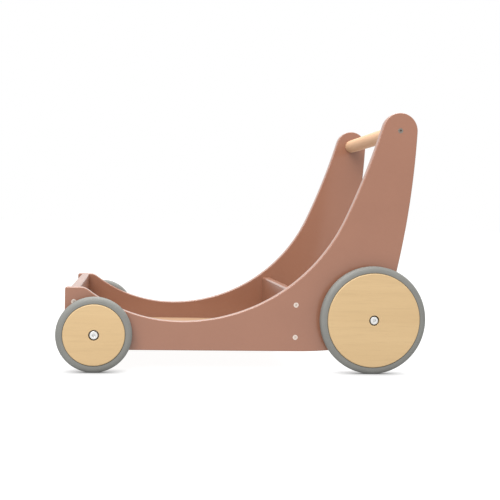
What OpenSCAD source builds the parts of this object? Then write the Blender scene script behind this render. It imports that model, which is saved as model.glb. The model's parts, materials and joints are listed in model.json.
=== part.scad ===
// Push-along baby walker: two painted side panels, a shallow cart between them,
// a round handle at the back and four plain wheels with rubber tyres.
// Frame: +X from the small front wheels towards the handle, +Y to the right-hand
// side, +Z up. The origin is on the ground, under the middle of the whole walker.
// Millimetres.

/* [Overall] */
// Distance between the front and rear axles
wheelbase = 458; // [390:1:560]
// Width over the outer faces of the two side panels
body_w = 350; // [270:1:440]
// Height of the handle's centre above the ground
handle_h = 407.5; // [360:0.5:500]
// Distance from the rear axle back to the handle's centre
handle_back = 41.5; // [10:0.5:70]
// Gap between the ground and the panels' bottom edge
ground_gap = 34; // [27:0.5:42]

/* [Side panels] */
// Thickness of the side panels
panel_t = 15; // [12:1:20]
// Distance from the front axle forward to the panels' front edge
nose_ahead = 48; // [40:0.5:60]
// Height of the panels' nose above their bottom edge
nose_h = 101.5; // [95:0.5:125]
// Length of the flat top of the nose, its rounded corner included
nose_flat = 24; // [20:1:30]
// Radius of the nose's top corner
nose_r = 3.5; // [2:0.5:8]
// Radius of the nose's bottom corner
toe_r = 20; // [10:1:30]
// Radius of the brow where the nose turns down into the dip
brow_r = 20; // [8:1:30]
// Height of the dip's lowest point above the bottom edge
dip_h = 47.5; // [35:0.5:60]
// Radius of the sweep that rises from the dip
sweep_r = 300; // [240:5:330]
// Slope at which the sweep turns into the gentler rise to the handle
sweep_slope = 65.5; // [58:0.5:66]
// Slope at which the rise meets the tip
lean = 73.5; // [71:0.5:78]
// Radius of the rounded tip around the handle
tip_r = 30; // [24:0.5:36]
// Radius of the long back edge
back_r = 1400; // [1200:50:3000]
// Angle below the level at which the back edge leaves the tip
back_start = 2; // [0:0.5:6]
// Radius of the rounded heel behind the rear wheel
heel_r = 60; // [40:1:70]
// Radius of the gentle rise from the bottom edge to the heel
belly_r = 600; // [400:10:900]
// Distance ahead of the rear axle at which the bottom edge starts to rise
belly_ahead = 121; // [100:1:140]

/* [Cart] */
// Thickness of the front and rear boards
board_t = 15; // [12:1:20]
// Height of the front and rear boards
board_h = 101; // [90:1:120]
// Distance from the panels' front edge back to the front board
front_board_inset = 7; // [4:0.5:12]
// Distance from the rear axle forward to the rear board's middle
rear_board_ahead = 128; // [110:0.5:145]
// Thickness of the floor board
floor_t = 12; // [9:0.5:15]
// Height of the floor's top face above the panels' bottom edge
floor_top = 16; // [15:0.5:24]
// Thickness of the tongue around the floor board
tongue_t = 6; // [4:0.5:8]
// Depth of the tongue around the floor board
tongue_d = 6; // [4:0.5:7]
// Clearance of the tongue in its grooves
groove_gap = 0.15; // [0.1:0.05:0.5]

/* [Board fasteners] */
// Distance from the boards' top and bottom edges to their screws
screw_edge = 23.5; // [18:0.5:30]
// Overall length of a board screw
screw_l = 50; // [40:1:60]
// Diameter of a screw's plain shank in the panel
screw_shank_d = 6.5; // [5.5:0.5:8]
// Core diameter of a screw's thread in the board
screw_core_d = 4.5; // [4:0.5:6]
// Diameter of a screw's countersunk head
screw_head_d = 8.5; // [8:0.5:11]
// Hexagon socket of a screw, across its flats
screw_socket = 3.5; // [3:0.5:5]
// Depth of a screw's hexagon socket
screw_socket_depth = 2.6; // [2:0.1:4]
// Diameter of the wooden locating pins
pin_d = 8; // [6:0.5:10]
// Depth of a locating pin in the panel
pin_in_panel = 9; // [6:0.5:10]
// Depth of a locating pin in the board
pin_in_board = 20; // [15:1:30]
// Radial clearance around glued or screwed-in pieces
seat_gap = 0.05; // [0.02:0.01:0.1]

/* [Handle] */
// Diameter of the handle
handle_d = 25; // [20:0.5:32]
// Depth of the handle's socket in each panel
handle_seat = 7; // [4:0.5:9]
// Diameter of a handle bolt's shank
handle_bolt_d = 5; // [4:0.5:8]
// Diameter of a handle bolt's countersunk head
handle_head_d = 9; // [8:0.5:14]
// Overall length of a handle bolt
handle_bolt_l = 30; // [25:1:45]
// Outer diameter of the threaded insert in the handle's end
handle_insert_d = 11; // [9:0.5:14]
// Length of the threaded insert in the handle's end
handle_insert_l = 24; // [20:1:40]

/* [Wheels] */
// Diameter of the front wheels' wooden discs
front_disc_d = 98.5; // [80:0.5:120]
// Diameter of the rear wheels' wooden discs
rear_disc_d = 156.5; // [130:0.5:190]
// Thickness of the wooden discs
disc_t = 20; // [18:0.5:26]
// Rounding of the discs' outer edges
disc_edge = 1.5; // [0.5:0.1:3]
// Height of a tyre over the disc's rim
tyre_h = 11.5; // [9:0.5:16]
// Width of a tyre at its widest
tyre_w = 17; // [14:0.5:17.5]
// Width of a tyre's tread, between its rounded shoulders
tread_w = 5; // [3:0.5:8]
// Height of a tyre's flat side under its shoulders
tyre_side_h = 3; // [1:0.5:5]
// Depth of the groove in the rim that holds the tyre's foot
rim_groove = 2; // [1:0.25:3]
// Width of the tyre's foot in the groove
foot_w = 15; // [12:0.5:15.5]
// Gap between a wheel and the side panel
wheel_gap = 4; // [3:0.25:6]
// End play of a wheel at each side
side_play = 0.3; // [0.2:0.05:0.6]
// Radial clearance of an axle bolt in its bushing
running_gap = 0.05; // [0.02:0.01:0.1]
// Radial clearance of an axle bolt in the panel
bolt_hole_gap = 0.1; // [0.05:0.05:0.5]

/* [Axles] */
// Diameter of an axle bolt's shank
axle_d = 8; // [6:0.5:10]
// Diameter of an axle bolt's head
axle_head_d = 13; // [10:0.5:14]
// Height of an axle bolt's head
axle_head_h = 8; // [6:0.5:8.5]
// Rounding of the top edge of an axle bolt's head
axle_head_edge = 0.8; // [0.3:0.1:1.2]
// Hexagon socket of an axle bolt, across its flats
axle_socket = 5; // [4:0.5:6]
// Depth of an axle bolt's hexagon socket
axle_socket_depth = 4; // [3:0.5:5]
// Depth of the bolt head's top under the disc's face
head_inset = 0.5; // [0:0.1:1.5]
// Diameter of the recess in a disc for the bolt head
recess_d = 17; // [16.5:0.5:24]
// Outer diameter of the washer under the bolt head
washer_d = 16; // [15:0.5:16.5]
// Thickness of the washer under the bolt head
washer_t = 1.5; // [1:0.1:2]
// Outer diameter of the spacer between a wheel and the panel
spacer_d = 20; // [16:0.5:26]
// Outer diameter of a wheel's bushing
bushing_d = 12; // [11:0.5:15]
// Outer diameter of the threaded insert in the panel
axle_insert_d = 12; // [11:0.5:14]
// Diameter of the flange on the threaded insert
axle_flange_d = 20; // [16:0.5:24]
// Thickness of the flange on the threaded insert
axle_flange_t = 1.5; // [1:0.1:2]
// Wall left between the threaded insert and the panel's outer face
axle_insert_wall = 3; // [2:0.5:4]

/* [Hidden] */
$fn = 48;

// Smallest cutting overlap past a face
eps = 1;
// Largest turn and largest length of one facet of an outline's arc
facet_angle = 6;
facet_l = 9;

// Colours
rose = [0.70, 0.50, 0.42];
birch = [0.86, 0.74, 0.55];
beech = [0.87, 0.70, 0.53];
rubber_grey = [0.58, 0.58, 0.56];
steel = [0.80, 0.80, 0.78];
dark_steel = [0.30, 0.30, 0.30];
brass = [0.78, 0.62, 0.30];
nylon = [0.90, 0.90, 0.88];

// Wheel sizes and axle places
front_tyre_r = front_disc_d / 2 + tyre_h;
rear_tyre_r = rear_disc_d / 2 + tyre_h;
rearmost = wheelbase + max(rear_tyre_r, handle_back + tip_r);
front_x = -(rearmost - front_tyre_r) / 2;
rear_x = front_x + wheelbase;

// Widths
outer_y = body_w / 2;
inner_y = outer_y - panel_t;

// Side panel outline, in X and Z
base_z = ground_gap;
nose_x = front_x - nose_ahead;
nose_z = base_z + nose_h;
dip_z = base_z + dip_h;
handle_x = rear_x + handle_back;
handle_c = [handle_x, handle_h];

// Sweep: an arc that starts level at the dip's lowest point, then a wider arc, the
// rise, that touches both the sweep and the tip
tip_join = handle_c + tip_r * [-sin(lean), cos(lean)];
sweep_end = sweep_r * [sin(sweep_slope), 1 - cos(sweep_slope)];
rise_r = (tip_join.y - dip_z - sweep_end.y) / (cos(sweep_slope) - cos(lean));
dip_x = tip_join.x - rise_r * (sin(lean) - sin(sweep_slope)) - sweep_end.x;
sweep_c = [dip_x, dip_z + sweep_r];
rise_c = sweep_c + (rise_r - sweep_r) * [-sin(sweep_slope), cos(sweep_slope)];

// Brow and front of the dip: two arcs that touch each other, the first level with
// the nose's flat top and the second level at the dip's lowest point
brow_x = nose_x + nose_flat;
dip_run = dip_x - brow_x;
dip_drop = nose_z - dip_z;
arc_sum = (dip_run * dip_run + dip_drop * dip_drop) / (2 * dip_drop);
dip_r = arc_sum - brow_r;
brow_c = [brow_x, nose_z - brow_r];
dip_c = [dip_x, dip_z + dip_r];
brow_a = atan2(dip_c.y - brow_c.y, dip_c.x - brow_c.x);

// Back edge, heel and belly: the heel's circle touches both long arcs from inside
back_c = handle_c + (tip_r - back_r) * [cos(back_start), -sin(back_start)];
belly_c = [rear_x - belly_ahead, base_z + belly_r];
heel_c = circles_meet(belly_c, belly_r - heel_r, back_c, back_r - heel_r);
heel_to_back = bearing(back_c, heel_c);
heel_to_belly = bearing(belly_c, heel_c);

// Cart boards
front_board_x = nose_x + front_board_inset;
rear_board_x = rear_x - rear_board_ahead - board_t / 2;
basket_x0 = front_board_x + board_t;
basket_x1 = rear_board_x;
floor_z = base_z + floor_top;
tongue_z = floor_z - (floor_t + tongue_t) / 2;
screw_z = [base_z + screw_edge, base_z + board_h - screw_edge];
board_mid_z = base_z + board_h / 2;
board_mid_x = [front_board_x + board_t / 2, rear_board_x + board_t / 2];

// Screw head heights: 90-degree countersinks
screw_head_h = (screw_head_d - screw_shank_d) / 2;
handle_head_h = (handle_head_d - handle_bolt_d) / 2;
handle_end_y = outer_y - panel_t + handle_seat;

// Wheel stack, measured outwards from the panel's outer face
disc_out = wheel_gap + disc_t;
recess_depth = head_inset + axle_head_h + washer_t + side_play;
recess_out = disc_out - recess_depth;
washer_out = recess_out + side_play;
head_out = washer_out + washer_t;
spacer_t = wheel_gap - side_play;
axle_tip = -(panel_t - axle_flange_t);
axle_insert_l = panel_t - axle_insert_wall;
shank_bore_d = axle_d + 2 * running_gap;

// The four wheels: name, axle X, disc radius, side (-1 left, +1 right)
WHEELS = [
    ["front_left", front_x, front_disc_d / 2, -1],
    ["front_right", front_x, front_disc_d / 2, 1],
    ["rear_left", rear_x, rear_disc_d / 2, -1],
    ["rear_right", rear_x, rear_disc_d / 2, 1],
];
WHEEL_PARTS = [
    "wheel_disc", "tyre", "hub_bushing", "axle_bolt", "axle_washer", "axle_spacer", "axle_insert",
];
BODY_NODES = [
    "left_side_panel", "right_side_panel", "front_board", "rear_board", "floor_board",
    "front_board_screws", "rear_board_screws", "front_board_pins", "rear_board_pins",
    "handle_dowel", "left_handle_bolt", "right_handle_bolt",
    "left_handle_insert", "right_handle_insert",
];

// ---- functions ----

// Points along an arc from angle a0 to angle a1, no further apart than a facet
function arc(c, r, a0, a1) =
    let (
        turn = a1 - a0,
        steps = ceil(max(abs(turn) / facet_angle, abs(turn) * PI / 180 * r / facet_l))
    )
    [for (i = [0:steps]) c + r * [cos(a0 + turn * i / steps), sin(a0 + turn * i / steps)]];

// Direction from one point to another, in degrees
function bearing(from, to) = atan2(to.y - from.y, to.x - from.x);

// The right-hand meeting point of two circles, the first one's centre above
function circles_meet(c1, r1, c2, r2) =
    let (
        d = norm(c2 - c1),
        a = (r1 * r1 - r2 * r2 + d * d) / (2 * d),
        h = sqrt(r1 * r1 - a * a),
        u = (c2 - c1) / d
    )
    c1 + a * u + h * [-u.y, u.x];

// The side panel's outline, clockwise from the end of the nose's flat top
function panel_outline() = concat(
    arc(brow_c, brow_r, 90, brow_a),
    arc(dip_c, dip_r, brow_a + 180, 270),
    arc(sweep_c, sweep_r, -90, sweep_slope - 90),
    arc(rise_c, rise_r, sweep_slope - 90, lean - 90),
    arc(handle_c, tip_r, lean + 90, -back_start),
    arc(back_c, back_r, -back_start, heel_to_back),
    arc(heel_c, heel_r, heel_to_back, heel_to_belly),
    arc(belly_c, belly_r, heel_to_belly, -90),
    arc([nose_x + toe_r, base_z + toe_r], toe_r, 270, 180),
    arc([nose_x + nose_r, nose_z - nose_r], nose_r, 180, 90)
);

// ---- helpers ----

// Places what is drawn for the left side, or mirrors it for the right (side = 1)
module on_side(side) {
    mirror([0, side > 0 ? 1 : 0, 0]) children();
}

// Turns +Z to point out of the left panel and starts at its outer face
module outwards(x, z) {
    translate([x, -outer_y, z]) rotate([90, 0, 0]) children();
}

// A hexagon socket to cut, mouth up at z = 0
module hex_socket(flats, depth) {
    translate([0, 0, -depth]) cylinder(h = depth + eps, d = flats / cos(30), $fn = 6);
}

// A countersunk fastener's outside, head up at z = 0, grown by gap all round
module countersunk(head_d, head_h, shank_d, shank_l, gap) {
    translate([0, 0, -shank_l]) cylinder(h = shank_l, d = shank_d + 2 * gap);
    translate([0, 0, -head_h]) cylinder(h = head_h, d1 = shank_d + 2 * gap, d2 = head_d + 2 * gap);
}

// ---- cart ----

module side_panel(side) {
    color(rose) on_side(side) difference() {
        outwards(0, 0) translate([0, 0, -panel_t]) linear_extrude(panel_t) polygon(panel_outline());
        for (w = [front_x, rear_x]) axle_holes(w);
        handle_holes();
        for (x = board_mid_x) board_holes(x);
        floor_groove();
    }
}

// Bolt hole, insert bore and flange seat in the left panel
module axle_holes(x) {
    z = x == front_x ? front_tyre_r : rear_tyre_r;
    outwards(x, z) {
        translate([0, 0, -panel_t - eps]) cylinder(h = panel_t + 2 * eps, d = axle_d + 2 * bolt_hole_gap);
        translate([0, 0, -panel_t - eps]) cylinder(h = axle_insert_l + eps, d = axle_insert_d + 2 * seat_gap);
        translate([0, 0, -panel_t - eps]) cylinder(h = axle_flange_t + eps, d = axle_flange_d + 2 * seat_gap);
    }
}

// Handle socket and countersunk bolt hole in the left panel
module handle_holes() {
    outwards(handle_x, handle_h) {
        translate([0, 0, -panel_t - eps]) cylinder(h = handle_seat + eps, d = handle_d + 2 * seat_gap);
        countersunk(handle_head_d, handle_head_h, handle_bolt_d, panel_t, seat_gap);
    }
}

// Screw holes and pin hole in the left panel, along one board
module board_holes(x) {
    for (z = screw_z) outwards(x, z)
        countersunk(screw_head_d, screw_head_h, screw_shank_d, panel_t + eps, seat_gap);
    outwards(x, board_mid_z) translate([0, 0, -panel_t - eps])
        cylinder(h = pin_in_panel + eps, d = pin_d + 2 * seat_gap);
}

// Groove in the left panel for the floor's tongue
module floor_groove() {
    x0 = basket_x0 - tongue_d - groove_gap;
    x1 = basket_x1 + tongue_d + groove_gap;
    translate([x0, -inner_y - tongue_d - groove_gap, tongue_z - groove_gap])
        cube([x1 - x0, tongue_d + groove_gap + eps, tongue_t + 2 * groove_gap]);
}

// A cross board from x0, with its groove cut into the face towards the basket
module cross_board(x0, groove_x0) {
    color(rose) difference() {
        translate([x0, -inner_y, base_z]) cube([board_t, 2 * inner_y, board_h]);
        translate([groove_x0, -inner_y - eps, tongue_z - groove_gap])
            cube([tongue_d + groove_gap + eps, 2 * (inner_y + eps), tongue_t + 2 * groove_gap]);
        for (side = [-1, 1]) on_side(side) board_bores(x0 + board_t / 2);
    }
}

// Pilot holes and pin hole in one end of a cross board
module board_bores(x) {
    for (z = screw_z) outwards(x, z) translate([0, 0, -screw_l - eps])
        cylinder(h = screw_l, d = screw_core_d + 2 * seat_gap);
    outwards(x, board_mid_z) translate([0, 0, -panel_t - pin_in_board - eps])
        cylinder(h = pin_in_board + 2 * eps, d = pin_d + 2 * seat_gap);
}

module front_board() {
    cross_board(front_board_x, basket_x0 - tongue_d - groove_gap);
}

module rear_board() {
    cross_board(rear_board_x, basket_x1 - eps);
}

module floor_board() {
    color(birch) {
        translate([basket_x0, -inner_y, floor_z - floor_t])
            cube([basket_x1 - basket_x0, 2 * inner_y, floor_t]);
        translate([basket_x0 - tongue_d, -inner_y - tongue_d, tongue_z])
            cube([basket_x1 - basket_x0 + 2 * tongue_d, 2 * (inner_y + tongue_d), tongue_t]);
    }
}

// The four screws of one cross board
module board_screws(x) {
    color(steel) for (side = [-1, 1], z = screw_z) on_side(side) outwards(x, z) difference() {
        union() {
            countersunk(screw_head_d, screw_head_h, screw_shank_d, panel_t, 0);
            translate([0, 0, -screw_l]) cylinder(h = screw_l - panel_t + eps, d = screw_core_d);
        }
        hex_socket(screw_socket, screw_socket_depth);
    }
}

// The two locating pins of one cross board
module board_pins(x) {
    color(beech) for (side = [-1, 1]) on_side(side) outwards(x, board_mid_z)
        translate([0, 0, -panel_t - pin_in_board]) cylinder(h = pin_in_board + pin_in_panel, d = pin_d);
}

// ---- handle ----

module handle_dowel() {
    color(beech) difference() {
        translate([handle_x, handle_end_y, handle_h]) rotate([90, 0, 0])
            cylinder(h = 2 * handle_end_y, d = handle_d);
        for (side = [-1, 1]) on_side(side)
            translate([handle_x, -handle_end_y - eps, handle_h]) rotate([-90, 0, 0])
                cylinder(h = handle_insert_l + eps, d = handle_insert_d + 2 * seat_gap);
    }
}

module handle_bolt(side) {
    color(dark_steel) on_side(side) outwards(handle_x, handle_h) difference() {
        countersunk(handle_head_d, handle_head_h, handle_bolt_d, handle_bolt_l, 0);
        hex_socket(screw_socket, screw_socket_depth);
    }
}

module handle_insert(side) {
    color(brass) on_side(side)
        translate([handle_x, -handle_end_y, handle_h]) rotate([-90, 0, 0]) difference() {
            cylinder(h = handle_insert_l, d = handle_insert_d);
            translate([0, 0, -eps])
                cylinder(h = handle_insert_l + 2 * eps, d = handle_bolt_d + 2 * seat_gap);
        }
}

// ---- wheels ----

// Moves to one wheel's axle, with +Z outwards from the panel's outer face
module at_wheel(w) {
    on_side(w[3]) outwards(w[1], w[2] + tyre_h) children();
}

// A flat ring of the given sizes, standing on z = 0
module ring(outer_d, bore_d, h) {
    difference() {
        cylinder(h = h, d = outer_d);
        translate([0, 0, -eps]) cylinder(h = h + 2 * eps, d = bore_d);
    }
}

// Wooden disc: rounded edges, a groove for the tyre, a bore and a bolt-head recess
module wheel_disc(w) {
    r = w[2];
    groove_w = foot_w + 2 * seat_gap;
    lip = (disc_t - groove_w) / 2;
    color(birch) at_wheel(w) translate([0, 0, wheel_gap]) difference() {
        rotate_extrude($fn = 96) polygon(concat(
            [[0, 0]],
            arc([r - disc_edge, disc_edge], disc_edge, -90, 0),
            [[r, lip], [r - rim_groove, lip], [r - rim_groove, disc_t - lip], [r, disc_t - lip]],
            arc([r - disc_edge, disc_t - disc_edge], disc_edge, 0, 90),
            [[0, disc_t]]
        ));
        translate([0, 0, -eps]) cylinder(h = disc_t + 2 * eps, d = bushing_d + 2 * seat_gap);
        translate([0, 0, disc_t - recess_depth]) cylinder(h = recess_depth + eps, d = recess_d);
    }
}

// Rubber tyre: a foot in the rim's groove under a round-shouldered ring
module tyre(w) {
    r = w[2];
    seat = r - rim_groove + seat_gap;
    shoulder_w = (tyre_w - tread_w) / 2;
    shoulder_h = tyre_h - tyre_side_h;
    quarter = [for (a = [0:10:90]) [r + tyre_side_h + shoulder_h * sin(a), shoulder_w * cos(a)]];
    half = concat(
        [[seat, foot_w / 2], [r + seat_gap, foot_w / 2], [r + seat_gap, tyre_w / 2 - seat_gap]],
        [for (q = quarter) [q.x, tread_w / 2 + q.y]]
    );
    mirrored = [for (i = [len(half) - 1:-1:0]) [half[i].x, -half[i].y]];
    color(rubber_grey) at_wheel(w) translate([0, 0, wheel_gap + disc_t / 2])
        rotate_extrude($fn = 96) polygon(concat(half, mirrored));
}

module hub_bushing(w) {
    color(nylon) at_wheel(w) translate([0, 0, wheel_gap])
        ring(bushing_d, shank_bore_d, disc_t - recess_depth);
}

module axle_bolt(w) {
    color(steel) at_wheel(w) difference() {
        union() {
            translate([0, 0, axle_tip]) cylinder(h = head_out - axle_tip + eps, d = axle_d);
            translate([0, 0, head_out]) rotate_extrude() polygon(concat(
                [[0, 0], [axle_head_d / 2, 0]],
                arc([axle_head_d / 2 - axle_head_edge, axle_head_h - axle_head_edge],
                    axle_head_edge, 0, 90),
                [[0, axle_head_h]]
            ));
        }
        translate([0, 0, head_out + axle_head_h]) hex_socket(axle_socket, axle_socket_depth);
    }
}

module axle_washer(w) {
    color(dark_steel) at_wheel(w) translate([0, 0, washer_out]) ring(washer_d, shank_bore_d, washer_t);
}

module axle_spacer(w) {
    color(nylon) at_wheel(w) ring(spacer_d, shank_bore_d, spacer_t);
}

module axle_insert(w) {
    color(brass) at_wheel(w) translate([0, 0, -panel_t]) {
        ring(axle_insert_d, shank_bore_d, axle_insert_l);
        ring(axle_flange_d, shank_bore_d, axle_flange_t);
    }
}

// ---- nodes ----

side_panel(-1);  // left_side_panel
side_panel(1);  // right_side_panel
front_board();
rear_board();
floor_board();
board_screws(board_mid_x[0]);  // front_board_screws
board_screws(board_mid_x[1]);  // rear_board_screws
board_pins(board_mid_x[0]);  // front_board_pins
board_pins(board_mid_x[1]);  // rear_board_pins
handle_dowel();
handle_bolt(-1);  // left_handle_bolt
handle_bolt(1);  // right_handle_bolt
handle_insert(-1);  // left_handle_insert
handle_insert(1);  // right_handle_insert
for (w = WHEELS) {
    wheel_disc(w);
    tyre(w);
    hub_bushing(w);
    axle_bolt(w);
    axle_washer(w);
    axle_spacer(w);
    axle_insert(w);
}
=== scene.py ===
"""Looks of the push-along baby walker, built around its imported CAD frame.

Metres, +X from the small front wheels towards the handle, +Y to the walker's
right-hand side, +Z up. The camera looks at the left-hand side.
"""

import json
import math

import bmesh
import bpy
from mathutils import Matrix, Vector


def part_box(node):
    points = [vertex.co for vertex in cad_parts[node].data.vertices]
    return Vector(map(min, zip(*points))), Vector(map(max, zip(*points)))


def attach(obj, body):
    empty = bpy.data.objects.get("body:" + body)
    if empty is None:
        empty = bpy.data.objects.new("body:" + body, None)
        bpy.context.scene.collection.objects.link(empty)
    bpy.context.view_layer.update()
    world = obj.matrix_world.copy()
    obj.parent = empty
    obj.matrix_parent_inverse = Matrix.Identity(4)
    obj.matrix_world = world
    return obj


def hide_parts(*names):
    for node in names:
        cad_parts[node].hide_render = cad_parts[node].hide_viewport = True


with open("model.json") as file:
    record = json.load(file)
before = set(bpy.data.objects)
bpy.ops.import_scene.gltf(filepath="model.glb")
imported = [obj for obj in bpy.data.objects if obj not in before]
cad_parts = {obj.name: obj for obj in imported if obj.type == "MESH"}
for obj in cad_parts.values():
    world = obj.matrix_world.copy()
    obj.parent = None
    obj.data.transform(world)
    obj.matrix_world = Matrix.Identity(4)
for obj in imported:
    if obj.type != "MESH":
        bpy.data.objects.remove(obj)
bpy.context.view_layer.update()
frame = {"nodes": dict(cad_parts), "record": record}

MM = 0.001
WHEELS = ("front_left", "front_right", "rear_left", "rear_right")
FIT = 0.05 * MM             # clearance between pieces that fit together
GROOVE_DEPTH = 2.0 * MM     # groove in a disc's rim that holds the tyre's foot
TYRE_FOOT = 7.5 * MM        # from the tyre's middle to its foot's side
WHEEL_STEPS = 160           # facets round a wheel
HANDLE_STEPS = 96           # facets round the handle
NOISE_RANGE = (0.3, 0.7)    # most values of a noise fall between these

# ---- node-tree helpers ----


def new_material(name):
    """A material, its node tree and its Principled shader."""
    material = bpy.data.materials.new(name)
    material.use_nodes = True
    tree = material.node_tree
    shader = tree.nodes["Principled BSDF"]
    return material, tree, shader


def add(tree, kind, **settings):
    """Adds a node and sets its properties."""
    made = tree.nodes.new(kind)
    for key, value in settings.items():
        setattr(made, key, value)
    return made


def feed(tree, socket, value):
    """Links a socket into an input, or sets the input to a colour or a number."""
    if isinstance(value, bpy.types.NodeSocket):
        tree.links.new(value, socket)
    elif isinstance(value, tuple):
        socket.default_value = (*value, 1.0)
    else:
        socket.default_value = value


def stretched(tree, scale):
    """The piece's own coordinates, in metres, scaled by a different factor along each axis."""
    coords = add(tree, "ShaderNodeTexCoord")
    mapping = add(tree, "ShaderNodeMapping")
    mapping.inputs["Scale"].default_value = scale
    tree.links.new(coords.outputs["Object"], mapping.inputs["Vector"])
    return mapping.outputs["Vector"]


def noise(tree, vector, scale, detail=3.0, rough=0.5, warp=0.0):
    """Noise from 0 to 1; a larger scale gives a finer pattern."""
    made = add(tree, "ShaderNodeTexNoise")
    made.inputs["Scale"].default_value = scale
    made.inputs["Detail"].default_value = detail
    made.inputs["Roughness"].default_value = rough
    made.inputs["Distortion"].default_value = warp
    tree.links.new(vector, made.inputs["Vector"])
    return made.outputs["Fac"]


def remap(tree, value, low, high, to_low, to_high):
    """Stretches low..high to to_low..to_high and clamps what falls outside."""
    made = add(tree, "ShaderNodeMapRange")
    made.inputs["From Min"].default_value = low
    made.inputs["From Max"].default_value = high
    made.inputs["To Min"].default_value = to_low
    made.inputs["To Max"].default_value = to_high
    tree.links.new(value, made.inputs["Value"])
    return made.outputs["Result"]


def spread(tree, value, to_low=0.0, to_high=1.0):
    """Stretches a noise's usual range to to_low..to_high."""
    return remap(tree, value, *NOISE_RANGE, to_low, to_high)


def mix(tree, factor, first, second):
    """Mixes two colours, each a tuple or a socket."""
    made = add(tree, "ShaderNodeMix", data_type="RGBA")
    factor_in, first_in, second_in, colour_out = 0, 6, 7, 2  # of a colour mix
    feed(tree, made.inputs[factor_in], factor)
    feed(tree, made.inputs[first_in], first)
    feed(tree, made.inputs[second_in], second)
    return made.outputs[colour_out]


def maths(tree, operation, first, second=0.0):
    """One step of arithmetic on two numbers, each plain or a socket."""
    made = add(tree, "ShaderNodeMath", operation=operation)
    feed(tree, made.inputs[0], first)
    feed(tree, made.inputs[1], second)
    return made.outputs[0]


def bump(tree, shader, height, depth):
    """Fine relief on the shader, depth metres high."""
    made = add(tree, "ShaderNodeBump")
    made.inputs["Strength"].default_value = 1.0
    made.inputs["Distance"].default_value = depth
    tree.links.new(height, made.inputs["Height"])
    tree.links.new(made.outputs["Normal"], shader.inputs["Normal"])


# ---- materials ----


def rose_paint():
    """Satin sprayed paint on board: even colour, faint mottle, fine orange peel."""
    material, tree, shader = new_material("rose_paint")
    plain = stretched(tree, (1, 1, 1))
    cloud = noise(tree, plain, scale=14, detail=2.0)
    fine = noise(tree, plain, scale=260, detail=4.0, rough=0.6)
    deep, even, speck = (0.201, 0.086, 0.050), (0.211, 0.091, 0.053), (0.246, 0.116, 0.076)
    colour = mix(tree, spread(tree, cloud), deep, even)
    colour = mix(tree, remap(tree, fine, 0.35, 0.75, 0, 0.10), colour, speck)
    tree.links.new(colour, shader.inputs["Base Color"])
    tree.links.new(spread(tree, fine, 0.28, 0.36), shader.inputs["Roughness"])
    peel = noise(tree, plain, scale=900, detail=2.0)
    bump(tree, shader, peel, 0.01 * MM)
    shader.inputs["Coat Weight"].default_value = 0.45
    shader.inputs["Coat Roughness"].default_value = 0.12
    return material


def wood(name, light, dark, along, roughness=(0.42, 0.55), layers=False):
    """Varnished wood with its grain along one axis; layers adds plywood lines on edges."""
    material, tree, shader = new_material(name)
    drawn_out, narrow = 3.0, 60.0
    grain_space = stretched(tree, tuple(drawn_out if axis == along else narrow for axis in "XYZ"))
    figure = noise(tree, grain_space, scale=0.55, rough=0.55, warp=0.4)
    fibres = noise(tree, grain_space, scale=5.0, detail=4.0, rough=0.6, warp=0.1)
    pores = noise(tree, grain_space, scale=22.0, detail=2.0)
    colour = mix(tree, spread(tree, figure), light, dark)
    streak = remap(tree, fibres, 0.50, 0.78, 0.0, 0.42)
    colour = mix(tree, streak, colour, tuple(0.82 * c for c in dark))
    fleck = remap(tree, pores, 0.62, 0.80, 0.0, 0.30)
    colour = mix(tree, fleck, colour, tuple(0.70 * c for c in dark))
    if layers:
        colour = ply_edges(tree, colour, light, dark)
    tree.links.new(colour, shader.inputs["Base Color"])
    tree.links.new(spread(tree, fibres, *roughness), shader.inputs["Roughness"])
    bump(tree, shader, fibres, 0.04 * MM)
    return material


def ply_edges(tree, colour, light, dark):
    """Thin layers, a light and a dark one in turn, where the surface doesn't face along Y."""
    ply_pair = 3.0 * MM
    face_on, edge_on, strength = 0.75, 0.55, 0.8
    coords = add(tree, "ShaderNodeTexCoord")
    parts = add(tree, "ShaderNodeSeparateXYZ")
    tree.links.new(coords.outputs["Object"], parts.inputs["Vector"])
    facing = add(tree, "ShaderNodeSeparateXYZ")
    geometry = add(tree, "ShaderNodeNewGeometry")
    tree.links.new(geometry.outputs["True Normal"], facing.inputs["Vector"])
    sideways = maths(tree, "ABSOLUTE", facing.outputs["Y"])
    on_edge = remap(tree, sideways, face_on, edge_on, 0.0, strength)
    wave = maths(tree, "SINE", maths(tree, "MULTIPLY", parts.outputs["Y"], math.tau / ply_pair))
    layer = remap(tree, wave, -0.25, 0.25, 0.0, 1.0)
    stripes = mix(tree, layer, tuple(0.80 * c for c in dark), tuple(min(1.0, 1.04 * c) for c in light))
    return mix(tree, on_edge, colour, stripes)


def rubber():
    """Light grey solid rubber, slightly dusty."""
    material, tree, shader = new_material("tyre_rubber")
    plain = stretched(tree, (1, 1, 1))
    dust = noise(tree, plain, scale=30, detail=4.0, rough=0.6)
    grit = noise(tree, plain, scale=1500, detail=2.0)
    clean, dusty = (0.118, 0.118, 0.108), (0.136, 0.136, 0.125)
    colour = mix(tree, spread(tree, dust), clean, dusty)
    tree.links.new(colour, shader.inputs["Base Color"])
    tree.links.new(spread(tree, dust, 0.52, 0.66), shader.inputs["Roughness"])
    bump(tree, shader, grit, 0.03 * MM)
    return material


def metal(name, colour, roughness):
    """Plated steel with fine wear."""
    material, tree, shader = new_material(name)
    plain = stretched(tree, (1, 1, 1))
    wear = noise(tree, plain, scale=500, detail=4.0, rough=0.6)
    shade = mix(tree, spread(tree, wear), tuple(0.88 * c for c in colour), colour)
    tree.links.new(shade, shader.inputs["Base Color"])
    tree.links.new(spread(tree, wear, roughness, roughness + 0.14), shader.inputs["Roughness"])
    shader.inputs["Metallic"].default_value = 1.0
    bump(tree, shader, wear, 0.01 * MM)
    return material


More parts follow.
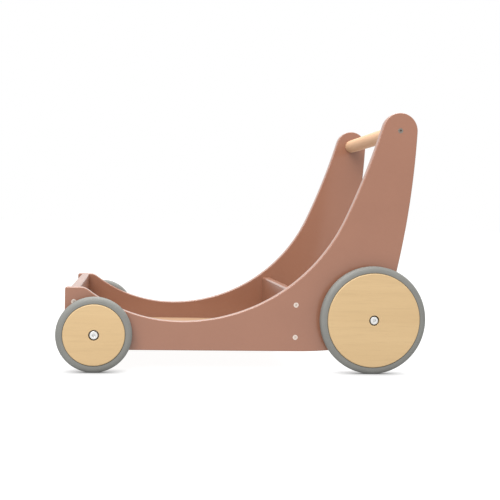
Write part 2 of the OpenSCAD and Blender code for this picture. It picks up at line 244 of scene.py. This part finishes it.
def plastic(name, colour):
    """Natural moulded nylon with a faint mottle."""
    material, tree, shader = new_material(name)
    plain = stretched(tree, (1, 1, 1))
    mottle = noise(tree, plain, scale=200)
    shade = mix(tree, spread(tree, mottle), tuple(0.93 * c for c in colour), colour)
    tree.links.new(shade, shader.inputs["Base Color"])
    tree.links.new(spread(tree, mottle, 0.38, 0.5), shader.inputs["Roughness"])
    bump(tree, shader, mottle, 0.01 * MM)
    return material


MATERIALS = {
    "rose_paint": rose_paint(),
    "wheel_wood": wood("wheel_wood", (0.408, 0.283, 0.143), (0.378, 0.257, 0.126), "X", layers=True),
    "birch_floor": wood("birch_floor", (0.305, 0.188, 0.110), (0.275, 0.165, 0.094), "X"),
    "handle_wood": wood("handle_wood", (0.485, 0.300, 0.180), (0.435, 0.260, 0.148), "Y", (0.62, 0.74)),
    "pin_wood": wood("pin_wood", (0.68, 0.46, 0.27), (0.58, 0.38, 0.21), "Y"),
    "tyre_rubber": rubber(),
    "bolt_steel": metal("bolt_steel", (0.66, 0.66, 0.65), 0.34),
    "screw_steel": metal("screw_steel", (0.66, 0.57, 0.51), 0.38),
    "dark_steel": metal("dark_steel", (0.23, 0.20, 0.175), 0.38),
    "brass": metal("brass", (0.75, 0.56, 0.26), 0.28),
    "nylon": plastic("nylon", (0.72, 0.71, 0.67)),
}
SLOT_OF = {s["node"]: s["material_slot"] for s in frame["record"]["subparts"]}

# ---- mesh helpers ----

SHARP = math.radians(35)      # an edge this sharp or sharper stays an edge
FLAT = math.radians(0.05)     # faces closer than this in angle are one face
WELD = 0.001 * MM             # corners closer than this are one corner
LEVEL = 0.01 * MM             # places closer than this are the same place


def finish_piece(name, mesh, node, body):
    """Turns a mesh into a smooth-shaded piece that stands for a CAD node."""
    slot = SLOT_OF[node]
    mesh.materials.clear()
    mesh.materials.append(MATERIALS[slot])
    mesh.shade_smooth()
    mesh.set_sharp_from_angle(angle=SHARP)
    piece = bpy.data.objects.new(name, mesh)
    bpy.context.scene.collection.objects.link(piece)
    weights = piece.modifiers.new("even_normals", "WEIGHTED_NORMAL")
    weights.keep_sharp = True
    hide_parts(node)
    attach(piece, body)
    return piece


def clean_mesh(node):
    """The CAD node's surface as one welded bmesh, with its flat faces whole again."""
    bm = bmesh.new()
    bm.from_mesh(frame["nodes"][node].data)
    bmesh.ops.remove_doubles(bm, verts=bm.verts, dist=WELD)
    bmesh.ops.dissolve_limit(bm, angle_limit=FLAT, verts=bm.verts, edges=bm.edges)
    bmesh.ops.recalc_face_normals(bm, faces=bm.faces)
    return bm


def sharp_edges(bm):
    """The edges between faces that meet at a clear angle."""
    return [e for e in bm.edges if e.is_manifold and e.calc_face_angle() > SHARP]


def bevel(bm, edges, width, segments):
    """Rounds edges over, in a number of strips."""
    corners = list({v for e in edges for v in e.verts})
    bmesh.ops.bevel(
        bm, geom=edges + corners, offset=width, offset_type="OFFSET",
        segments=segments, profile=0.5, affect="EDGES", clamp_overlap=True,
    )


def outline_edges(bm):
    """The sharp edges around a flat panel's two faces, without those of its holes."""
    found = []
    planes = {round(v.co.y / LEVEL) for e in sharp_edges(bm) for v in e.verts}
    for plane in (min(planes), max(planes)):
        level = [e for e in sharp_edges(bm) if all(round(v.co.y / LEVEL) == plane for v in e.verts)]
        found += widest_loop(level)
    return found


def widest_loop(edges):
    """The connected group of edges that reaches furthest along X."""
    left, best, best_width = set(edges), [], 0.0
    while left:
        group, queue = [], [left.pop()]
        while queue:
            edge = queue.pop()
            group.append(edge)
            touching = {e for v in edge.verts for e in v.link_edges if e in left}
            left -= touching
            queue += touching
        xs = [v.co.x for e in group for v in e.verts]
        if max(xs) - min(xs) > best_width:
            best, best_width = group, max(xs) - min(xs)
    return best


def to_mesh(bm, name):
    """A bmesh as a mesh; the bmesh is used up."""
    mesh = bpy.data.meshes.new(name)
    bm.to_mesh(mesh)
    bm.free()
    return mesh


def rounded(points, radii, steps):
    """A closed profile with each corner rounded to its own radius, or left where that is 0."""
    made = []
    for i, (corner, radius) in enumerate(zip(points, radii)):
        here, before, after = (Vector(p) for p in (corner, points[i - 1], points[(i + 1) % len(points)]))
        if not radius:
            made.append(corner)
            continue
        to_before, to_after = (before - here).normalized(), (after - here).normalized()
        half = math.acos(to_before.dot(to_after)) / 2
        centre = here + (to_before + to_after).normalized() * (radius / math.sin(half))
        touches = [here + side * (radius / math.tan(half)) - centre for side in (to_before, to_after)]
        first, last = (math.atan2(t.y, t.x) for t in touches)
        sweep = (last - first + math.pi) % math.tau - math.pi
        for k in range(steps + 1):
            angle = first + sweep * k / steps
            made.append((centre.x + radius * math.cos(angle), centre.y + radius * math.sin(angle)))
    return made


def lathe(name, profile, centre, steps):
    """Turns a closed profile of (radius, place along Y) around a level axis through centre."""
    bm = bmesh.new()
    rings = []
    for k in range(steps):
        turn = math.tau * k / steps
        rings.append([
            bm.verts.new((centre.x + r * math.cos(turn), y, centre.z + r * math.sin(turn)))
            for r, y in profile
        ])
    for k, ring in enumerate(rings):
        following = rings[(k + 1) % steps]
        for i in range(len(profile)):
            j = (i + 1) % len(profile)
            bm.faces.new((ring[i], ring[j], following[j], following[i]))
    bmesh.ops.recalc_face_normals(bm, faces=bm.faces)
    return to_mesh(bm, name)


def middle(node):
    """The centre of a CAD node's box."""
    low, high = (Vector(c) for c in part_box(node))
    return (low + high) / 2


# ---- pieces ----


def side_panel(node):
    """Panel with its whole outline rounded over."""
    bm = clean_mesh(node)
    bevel(bm, outline_edges(bm), width=1.6 * MM, segments=4)
    return finish_piece(node + "_board", to_mesh(bm, node), node, "frame")


def cross_board(node):
    """Board with its long top and bottom edges rounded over."""
    low, high = (Vector(c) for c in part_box(node))
    bm = clean_mesh(node)
    nearly_whole = 0.9 * (high.y - low.y)

    def is_long_edge(edge):
        a, b = edge.verts
        spans_board = abs(a.co.y - b.co.y) > nearly_whole
        at_top_or_bottom = min(abs(a.co.z - low.z), abs(a.co.z - high.z)) < LEVEL
        return spans_board and at_top_or_bottom

    bevel(bm, [e for e in sharp_edges(bm) if is_long_edge(e)], width=3.0 * MM, segments=5)
    return finish_piece(node + "_painted", to_mesh(bm, node), node, "frame")


def eased(node, name, body, width):
    """A CAD node with all its sharp edges slightly eased."""
    bm = clean_mesh(node)
    bevel(bm, sharp_edges(bm), width, segments=2)
    return finish_piece(name, to_mesh(bm, node), node, body)


def wheel_disc(wheel):
    """Plywood disc: rounded rim, groove for the tyre, bore, and a recess for the bolt's head."""
    node = wheel + "_wheel_disc"
    low, high = (Vector(c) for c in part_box(node))
    centre = (low + high) / 2
    out = -1 if wheel.endswith("left") else 1
    face, back = (low.y, high.y) if out < 0 else (high.y, low.y)
    radius = (high.z - low.z) / 2
    washer_low, washer_high = (Vector(c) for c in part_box(wheel + "_axle_washer"))
    bush_low, bush_high = (Vector(c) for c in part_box(wheel + "_hub_bushing"))
    recess_y = bush_low.y if out < 0 else bush_high.y
    bore = (bush_high.z - bush_low.z) / 2 + FIT
    washer_gap = 0.5 * MM
    recess = (washer_high.z - washer_low.z) / 2 + washer_gap
    lip = (high.y - low.y) / 2 - TYRE_FOOT - FIT
    groove = radius - GROOVE_DEPTH
    rim_round, bore_round, mouth_round, seat_round = 1.7 * MM, 0.3 * MM, 0.5 * MM, 0.2 * MM
    profile = [
        (bore, back), (radius, back), (radius, back + out * lip), (groove, back + out * lip),
        (groove, face - out * lip), (radius, face - out * lip), (radius, face),
        (recess, face), (recess, recess_y), (bore, recess_y),
    ]
    radii = [bore_round, rim_round, 0, 0, 0, 0, rim_round, mouth_round, seat_round, 0]
    mesh = lathe(node, rounded(profile, radii, steps=5), centre, WHEEL_STEPS)
    return finish_piece(wheel + "_plywood_disc", mesh, node, wheel + "_wheel")


def tyre(wheel):
    """Solid tyre: foot in the rim's groove, round shoulders and a fine mould seam."""
    node = wheel + "_tyre"
    low, high = (Vector(c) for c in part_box(node))
    centre = (low + high) / 2
    outer = (high.z - low.z) / 2
    half = (high.y - low.y) / 2
    disc_low, disc_high = (Vector(c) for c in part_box(wheel + "_wheel_disc"))
    rim = (disc_high.z - disc_low.z) / 2
    seat = rim - GROOVE_DEPTH + FIT
    inner_slope = 1.0 * MM
    shoulder = 5.8 * MM
    bulge = rim + 3.2 * MM
    seam_height, seam_foot, seam_top = 0.35 * MM, 1.1 * MM, 0.6 * MM
    quarter_turn = [math.radians(a) for a in range(0, 91, 9)]
    side = [(seat, TYRE_FOOT), (rim + FIT, TYRE_FOOT)]
    side += [(rim + 2 * FIT, half - inner_slope), (rim + 2 * FIT + inner_slope, half)]
    side += [
        (bulge + (outer - bulge) * math.sin(a), half - shoulder + shoulder * math.cos(a))
        for a in quarter_turn
    ]
    side += [(outer - seam_height, seam_foot), (outer, seam_top)]
    profile = side + [(r, -y) for r, y in reversed(side)]
    mesh = lathe(node, [(r, centre.y + y) for r, y in profile], centre, WHEEL_STEPS)
    return finish_piece(wheel + "_rubber_tyre", mesh, node, wheel + "_wheel")


def handle():
    """Round handle with rounded ends, bored at each end for its insert."""
    node = "handle_dowel"
    low, high = (Vector(c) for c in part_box(node))
    centre = (low + high) / 2
    radius = (high.z - low.z) / 2
    insert_low, insert_high = (Vector(c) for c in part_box("left_handle_insert"))
    bore = (insert_high.z - insert_low.z) / 2 + FIT
    depth = insert_high.y - insert_low.y
    core = 0.4 * MM  # a fine hidden bore, because the turned profile can't reach the axis
    mouth_round, end_round = 0.3 * MM, 1.2 * MM
    profile = [
        (core, low.y + depth), (bore, low.y + depth), (bore, low.y), (radius, low.y),
        (radius, high.y), (bore, high.y), (bore, high.y - depth), (core, high.y - depth),
    ]
    radii = [0, 0, mouth_round, end_round, end_round, mouth_round, 0, 0]
    mesh = lathe(node, rounded(profile, radii, steps=4), centre, HANDLE_STEPS)
    return finish_piece("handle_round", mesh, node, "frame")


for panel in ("left_side_panel", "right_side_panel"):
    side_panel(panel)
for board in ("front_board", "rear_board"):
    cross_board(board)
eased("floor_board", "floor_plywood", "frame", width=0.5 * MM)
handle()
for wheel in WHEELS:
    wheel_disc(wheel)
    tyre(wheel)
    eased(wheel + "_axle_bolt", wheel + "_socket_bolt", "frame", width=0.2 * MM)
for fixing in ("front_board_screws", "rear_board_screws", "left_handle_bolt", "right_handle_bolt"):
    eased(fixing, fixing + "_plated", "frame", width=0.15 * MM)

for name, node in frame["nodes"].items():
    node.data.materials.clear()
    node.data.materials.append(MATERIALS[SLOT_OF[name]])

# ---- stage, light and camera ----


def stage_floor():
    """A wide grey floor whose even glow makes it white; close to a wheel the glow dims, a painted
    contact shadow.
    """
    reach = 30.0
    # how far from a wheel the painted contact shadow reaches, in metres
    painted_shadow_reach = 0.03
    glow = 0.94
    bm = bmesh.new()
    corners = [(-reach, -reach), (reach, -reach), (reach, reach), (-reach, reach)]
    bm.faces.new([bm.verts.new((x, y, 0.0)) for x, y in corners])
    floor = bpy.data.objects.new("stage_floor", to_mesh(bm, "stage_floor"))
    bpy.context.scene.collection.objects.link(floor)
    material, tree, shader = new_material("stage_floor")
    plain = stretched(tree, (1, 1, 1))
    faint = noise(tree, plain, scale=3.0)
    grey, paler = (0.13, 0.13, 0.13), (0.14, 0.14, 0.14)
    tree.links.new(mix(tree, faint, grey, paler), shader.inputs["Base Color"])
    shader.inputs["Roughness"].default_value = 0.9
    shader.inputs["Specular IOR Level"].default_value = 0.1
    # Painted contact shadow: ambient occlusion dims the floor's glow close to the wheels.
    painted_contact_shadow = add(tree, "ShaderNodeAmbientOcclusion", samples=16)
    painted_contact_shadow.inputs["Distance"].default_value = painted_shadow_reach
    tree.links.new(painted_contact_shadow.outputs["Color"], shader.inputs["Emission Color"])
    shader.inputs["Emission Strength"].default_value = glow
    floor.data.materials.append(material)


def studio_world():
    """Even white light from all round."""
    world = bpy.data.worlds.new("studio")
    world.use_nodes = True
    background = world.node_tree.nodes["Background"]
    background.inputs["Color"].default_value = (1.0, 1.0, 1.0, 1.0)
    background.inputs["Strength"].default_value = 1.0
    bpy.context.scene.world = world


def softbox(name, place, target, size, power):
    """A flat lamp aimed at a target; metres and watts."""
    light = bpy.data.lights.new(name, "AREA")
    light.shape = "RECTANGLE"
    light.size, light.size_y = size
    light.energy = power
    lamp = bpy.data.objects.new(name, light)
    lamp.location = place
    lamp.rotation_euler = (Vector(target) - Vector(place)).to_track_quat("-Z", "Y").to_euler()
    bpy.context.scene.collection.objects.link(lamp)


def camera():
    """Low, nearly side-on, turned a little towards the handle and rolled a little."""
    near_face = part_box("left_side_panel")[0][1]
    front_axle = middle("front_left_axle_bolt").x
    behind_axle, away, height = 0.0589, 1.4191, 0.2508
    place = Vector((front_axle + behind_axle, near_face - away, height))
    yaw, pitch, roll = math.radians(-7.668), math.radians(-1.975), math.radians(1.6)
    upright = Matrix.Rotation(math.radians(90), 4, "X")
    turned = Matrix.Rotation(yaw, 4, "Z") @ Matrix.Rotation(pitch, 4, "X") @ upright
    data = bpy.data.cameras.new("camera")
    data.sensor_width = 36.0
    data.lens = 62.58
    made = bpy.data.objects.new("camera", data)
    made.matrix_world = Matrix.Translation(place) @ turned @ Matrix.Rotation(roll, 4, "Z")
    bpy.context.scene.collection.objects.link(made)
    bpy.context.scene.camera = made


stage_floor()
studio_world()
softbox("key", place=(-0.9, -1.8, 2.0), target=(0.0, 0.0, 0.1), size=(1.8, 1.8), power=85)
softbox("top", place=(0.1, 0.2, 2.6), target=(0.0, 0.0, 0.0), size=(2.2, 2.2), power=104)
camera()
bpy.context.scene.view_settings.view_transform = "Standard"
